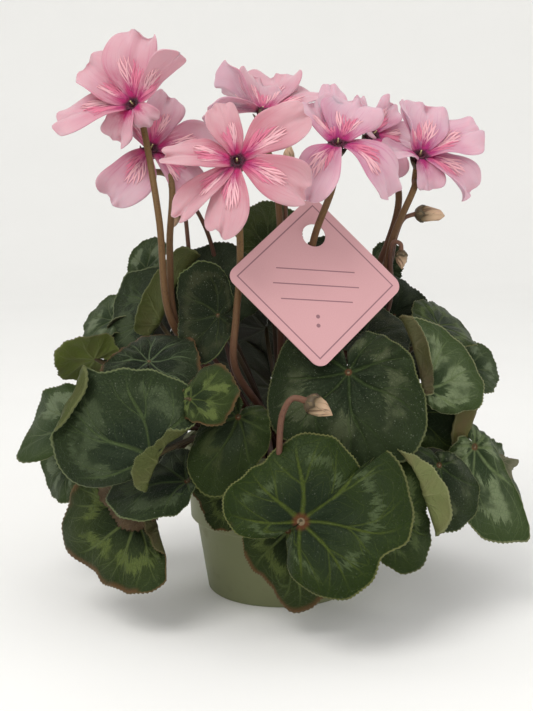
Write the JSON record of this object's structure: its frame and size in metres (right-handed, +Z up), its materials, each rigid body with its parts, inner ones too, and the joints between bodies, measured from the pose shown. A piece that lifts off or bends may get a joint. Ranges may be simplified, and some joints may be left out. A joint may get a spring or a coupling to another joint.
{
  "type": "potted cyclamen",
  "caption": "Cyclamen in a tapered plastic pot: a mound of marbled round leaves round a bunch of upright pink blooms, with nodding buds and a square card tag.",
  "frame": {"origin": "middle of the pot's underside, on the surface that it stands on", "axes": "+Z up along the pot's axis, -Y towards the front, where the tag and the widest leaf face, +X to the right as seen from the front"},
  "size_m": [0.2892, 0.2523, 0.3142],
  "materials": {
    "pot_plastic": "matte sage green",
    "potting_soil": "moist and rough",
    "tuber_skin": "rough brown skin",
    "leaf": "dark green with silver marbling, satin",
    "petal": "soft pink with a magenta throat",
    "stem": "olive to purple brown, satin",
    "bud": "beige pink, satin",
    "tag_card": "matte pink card"
  },
  "bodies": {
    "root": {"pot": "pot_plastic", "soil": "potting_soil", "tuber": "tuber_skin", "tag": "tag_card", "leaf_front_low": "leaf", "leaf_front_under": "leaf", "leaf_front_shade": "leaf", "leaf_front_right": "leaf", "leaf_left_front": "leaf", "leaf_left_fold": "leaf", "leaf_left_low": "leaf", "leaf_left_far": "leaf", "leaf_left_back": "leaf", "leaf_right_front": "leaf", "leaf_right_low": "leaf", "leaf_right_far": "leaf", "leaf_middle_left": "leaf", "leaf_middle_marked": "leaf", "leaf_middle_centre": "leaf", "leaf_middle_under": "leaf", "leaf_middle_right": "leaf", "leaf_side_left": "leaf", "leaf_side_left_turned": "leaf", "leaf_side_right": "leaf", "leaf_upper_front": "leaf", "leaf_upper_right": "leaf", "leaf_upper_right_back": "leaf", "leaf_upper_rolled": "leaf", "leaf_upper_behind_tag": "leaf", "leaf_upper_left": "leaf", "leaf_upper_left_broad": "leaf", "leaf_upper_left_low": "leaf", "leaf_upper_left_back": "leaf", "leaf_upper_back": "leaf", "leaf_top": "leaf", "leaf_back_low_right": "leaf", "leaf_back_low": "leaf", "leaf_back_low_left": "leaf", "leaf_back_right": "leaf", "leaf_back_middle": "leaf", "leaf_back_left": "leaf", "bloom_left_top": "petal", "bloom_left_top_stem": "stem", "bloom_left_under": "petal", "bloom_left_under_stem": "stem", "bloom_centre": "petal", "bloom_centre_stem": "stem", "bloom_middle_top": "petal", "bloom_middle_top_stem": "stem", "bloom_right_front": "petal", "bloom_right_front_stem": "stem", "bloom_right_back": "petal", "bloom_right_back_stem": "stem", "bloom_right_side": "petal", "bloom_right_side_stem": "stem", "bud_right": "bud", "bud_hanging": "bud", "bud_front": "bud", "bud_behind": "bud"}
  },
  "joints": []
}
